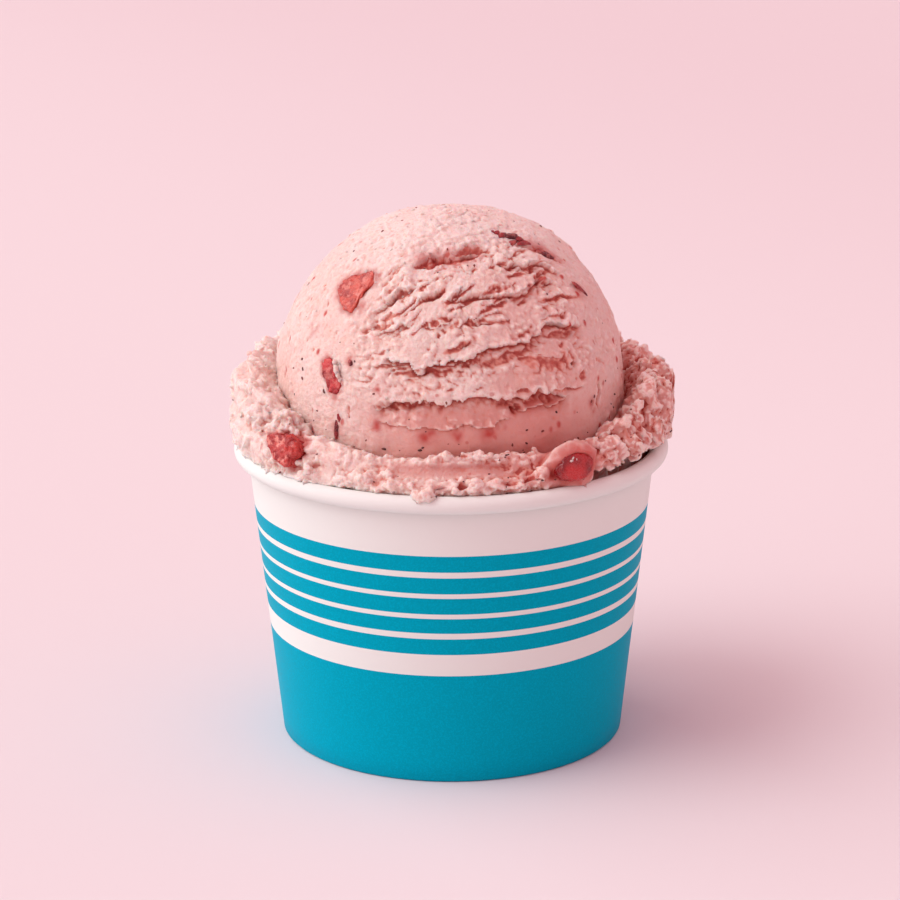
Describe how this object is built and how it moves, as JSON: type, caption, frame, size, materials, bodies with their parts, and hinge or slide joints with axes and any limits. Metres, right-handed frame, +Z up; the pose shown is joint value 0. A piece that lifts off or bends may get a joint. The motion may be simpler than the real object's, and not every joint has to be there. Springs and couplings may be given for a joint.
{
  "type": "ice cream cup",
  "caption": "Round scoop of strawberry ice cream with berry chunks and a ragged collar, heaped in a tapered paper cup with a curled rim and coloured bands.",
  "frame": {"origin": "centre of the cup's foot, on the surface that it stands on", "axes": "+Z up along the cup's axis; -Y is the side that the picture shows, with +X to its right; the paper seam is at +Y"},
  "size_m": [0.0771, 0.0759, 0.0933],
  "materials": {
    "printed_paper": "satin coated paper, white with teal bands",
    "plain_paper": "satin coated paper",
    "strawberry_ice_cream": "matte, slightly moist",
    "strawberry": "wet"
  },
  "bodies": {
    "root": {"cup_wall": "printed_paper", "cup_base": "plain_paper", "ice_cream": "strawberry_ice_cream", "strawberry_1": "strawberry", "strawberry_2": "strawberry", "strawberry_3": "strawberry", "strawberry_4": "strawberry", "strawberry_5": "strawberry", "strawberry_6": "strawberry", "strawberry_7": "strawberry", "strawberry_8": "strawberry"}
  },
  "joints": []
}
